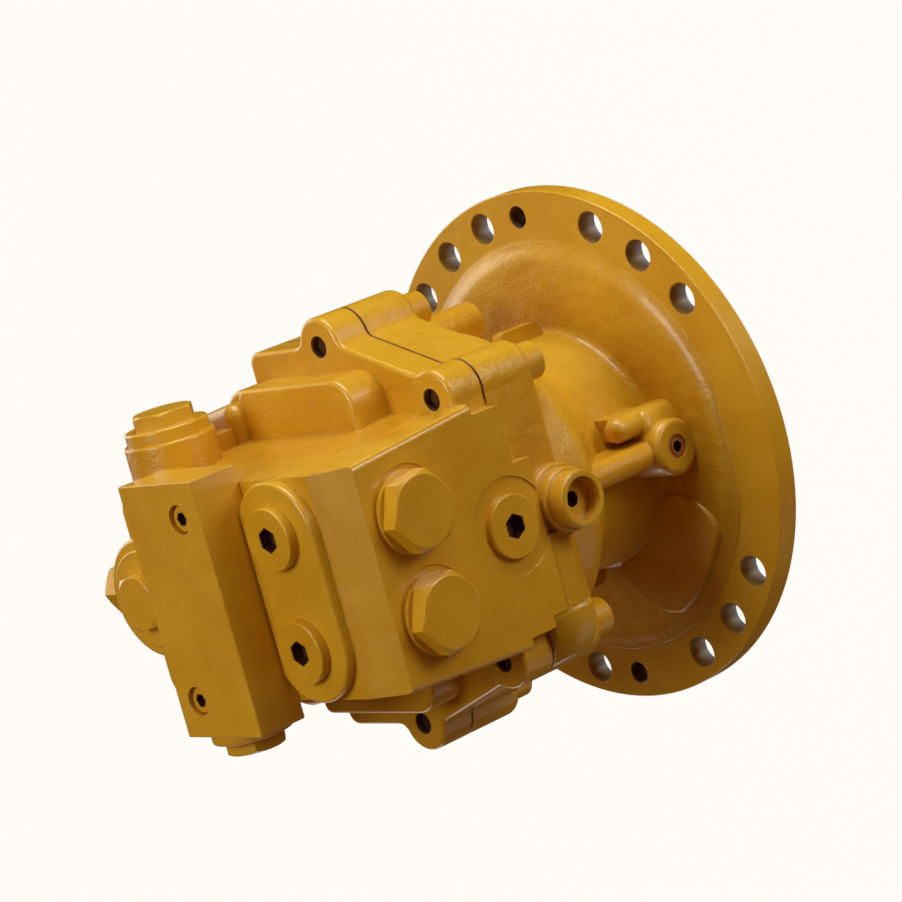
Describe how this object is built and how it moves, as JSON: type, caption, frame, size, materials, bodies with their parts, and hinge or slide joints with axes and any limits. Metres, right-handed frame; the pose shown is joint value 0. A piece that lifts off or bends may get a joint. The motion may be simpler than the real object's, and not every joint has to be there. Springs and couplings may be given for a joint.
{
  "type": "swing motor",
  "caption": "Hydraulic axial piston swing motor with parking brake, round mounting flange, splined shaft and a valve casing with relief and make-up valves.",
  "frame": {"origin": "centre of the mounting face, on the shaft axis", "axes": "+Z along the shaft axis away from the machine, +X out of the machined plug face, +Y along the relief valve bores"},
  "size_m": [0.34, 0.34, 0.4005],
  "materials": {
    "painted_casting": "golden yellow enamel over sand casting",
    "painted_block": "golden yellow enamel on machined steel",
    "painted_hardware": "golden yellow enamel on steel",
    "seal_rubber": "moulded",
    "copper_washer": "dull copper",
    "dark_steel": "blackened",
    "friction_lining": "sintered lining",
    "bronze": "machined bronze",
    "cast_steel": "ground face",
    "machined_steel": "machined"
  },
  "bodies": {
    "housing": {"casing": "painted_casting", "valve_casing": "painted_casting", "joint_seal": "seal_rubber", "joint_screws": "painted_hardware", "joint_dowels": "machined_steel", "oil_seal": "seal_rubber", "seal_retaining_ring": "machined_steel", "front_bearing_cup": "machined_steel", "rear_bearing_cup": "machined_steel", "swash_plate": "cast_steel", "swash_pins": "machined_steel", "separator_plates": "machined_steel", "brake_springs": "machined_steel", "valve_plate": "bronze", "valve_plate_pin": "machined_steel", "make_up_plugs": "painted_hardware", "make_up_seats": "machined_steel", "make_up_spring_upper": "machined_steel", "make_up_spring_lower": "machined_steel", "relief_plugs": "painted_hardware", "relief_sleeves": "machined_steel", "relief_spring_upper": "machined_steel", "relief_spring_lower": "machined_steel", "pad_plugs": "painted_hardware", "plunger_spring_upper": "machined_steel", "plunger_spring_lower": "machined_steel", "side_plug": "painted_hardware", "passage_plug": "dark_steel", "passage_washer": "copper_washer", "reversal_block": "painted_block", "block_screws": "painted_hardware", "block_seals": "seal_rubber", "round_boss_plug": "painted_hardware", "gauge_plug": "painted_hardware"},
    "rotating_group": {"drive_shaft": "machined_steel", "cylinder_block": "machined_steel", "front_bearing_cone": "machined_steel", "rear_bearing_sleeve": "machined_steel", "retainer_ball": "bronze", "push_pins": "machined_steel", "spring_seats": "machined_steel", "block_spring": "machined_steel", "snap_ring": "machined_steel", "friction_plates": "friction_lining", "pistons": "machined_steel"},
    "shoe_group": {"shoes": "bronze", "retainer_plate": "machined_steel"},
    "front_rollers": {"front_bearing_rollers": "machined_steel", "front_bearing_cage": "machined_steel"},
    "rear_needles": {"rear_bearing_needles": "machined_steel", "rear_bearing_cage": "machined_steel"},
    "brake": {"brake_piston": "machined_steel", "brake_seals": "seal_rubber"},
    "upper_relief": {"relief_poppet_upper": "machined_steel"},
    "lower_relief": {"relief_poppet_lower": "machined_steel"},
    "upper_make_up": {"make_up_poppet_upper": "machined_steel"},
    "lower_make_up": {"make_up_poppet_lower": "machined_steel"},
    "upper_plunger": {"plunger_upper": "machined_steel"},
    "lower_plunger": {"plunger_lower": "machined_steel"}
  },
  "joints": [
    {"name": "shaft_spin", "type": "hinge", "parent": "housing", "child": "rotating_group", "pos_m": [0, 0, 0], "axis": [0, 0, 1], "continuous": true, "deforming": ["pistons"]},
    {"name": "shoe_spin", "type": "hinge", "parent": "housing", "child": "shoe_group", "pos_m": [0, 0, 0.07736], "axis": [0.2756, 0, 0.9613], "continuous": true},
    {"name": "front_roller_spin", "type": "hinge", "parent": "housing", "child": "front_rollers", "pos_m": [0, 0, 0], "axis": [0, 0, 1], "continuous": true},
    {"name": "rear_roller_spin", "type": "hinge", "parent": "housing", "child": "rear_needles", "pos_m": [0, 0, 0], "axis": [0, 0, 1], "continuous": true},
    {"name": "brake_release", "type": "slide", "parent": "housing", "child": "brake", "axis": [0, 0, 1], "range_m": [0, 0.0025], "stiffness_N_per_m": 40000, "springref_m": -0.01, "deforming": ["brake_springs"]},
    {"name": "relief_upper_open", "type": "slide", "parent": "housing", "child": "upper_relief", "axis": [0, 1, 0], "range_m": [0, 0.003], "stiffness_N_per_m": 4000, "springref_m": -0.004, "deforming": ["relief_spring_upper"]},
    {"name": "relief_lower_open", "type": "slide", "parent": "housing", "child": "lower_relief", "axis": [0, -1, 0], "range_m": [0, 0.003], "stiffness_N_per_m": 4000, "springref_m": -0.004, "deforming": ["relief_spring_lower"]},
    {"name": "make_up_upper_open", "type": "slide", "parent": "housing", "child": "upper_make_up", "axis": [1, 0, 0], "range_m": [0, 0.004], "stiffness_N_per_m": 800, "springref_m": -0.004, "deforming": ["make_up_spring_upper"]},
    {"name": "make_up_lower_open", "type": "slide", "parent": "housing", "child": "lower_make_up", "axis": [1, 0, 0], "range_m": [0, 0.004], "stiffness_N_per_m": 800, "springref_m": -0.004, "deforming": ["make_up_spring_lower"]},
    {"name": "plunger_upper_lift", "type": "slide", "parent": "housing", "child": "upper_plunger", "axis": [0, 0, 1], "range_m": [0, 0.003], "stiffness_N_per_m": 800, "springref_m": -0.004, "deforming": ["plunger_spring_upper"]},
    {"name": "plunger_lower_lift", "type": "slide", "parent": "housing", "child": "lower_plunger", "axis": [0, 0, 1], "range_m": [0, 0.003], "stiffness_N_per_m": 800, "springref_m": -0.004, "deforming": ["plunger_spring_lower"]}
  ],
  "couplings": [
    {"joint": "shoe_spin", "follows": "shaft_spin", "ratio": 1},
    {"joint": "front_roller_spin", "follows": "shaft_spin", "ratio": 0.4465},
    {"joint": "rear_roller_spin", "follows": "shaft_spin", "ratio": 0.4573}
  ]
}
